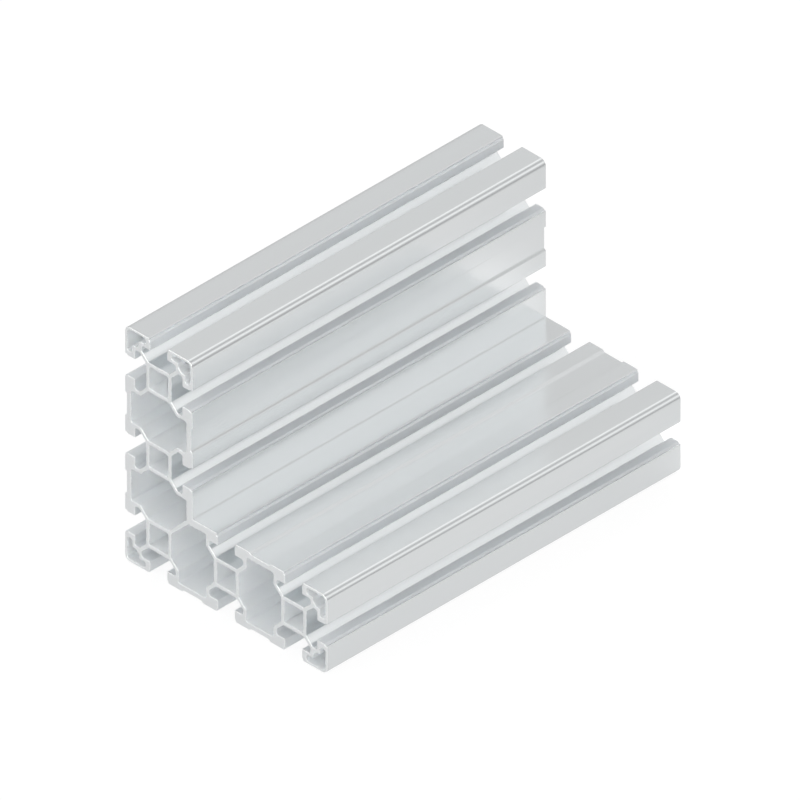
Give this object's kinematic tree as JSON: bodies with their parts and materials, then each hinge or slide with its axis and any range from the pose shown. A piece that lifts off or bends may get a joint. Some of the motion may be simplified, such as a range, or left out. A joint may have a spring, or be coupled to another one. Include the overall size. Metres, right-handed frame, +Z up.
{
  "type": "aluminium t-slot profile",
  "caption": "L-shaped aluminium T-slot profile, cut to length, with hollow square cores and open slots on every side for nuts, bolts, brackets and panels.",
  "frame": {"origin": "centre of the bounding box's bottom, on the face that the piece lies on", "axes": "+Y along the length, +X along the flat leg away from the corner, +Z up along the upright leg"},
  "size_m": [0.12, 0.21, 0.12],
  "materials": {
    "anodised_aluminium": "satin, natural anodised"
  },
  "bodies": {
    "root": {"profile": "anodised_aluminium"}
  },
  "joints": []
}
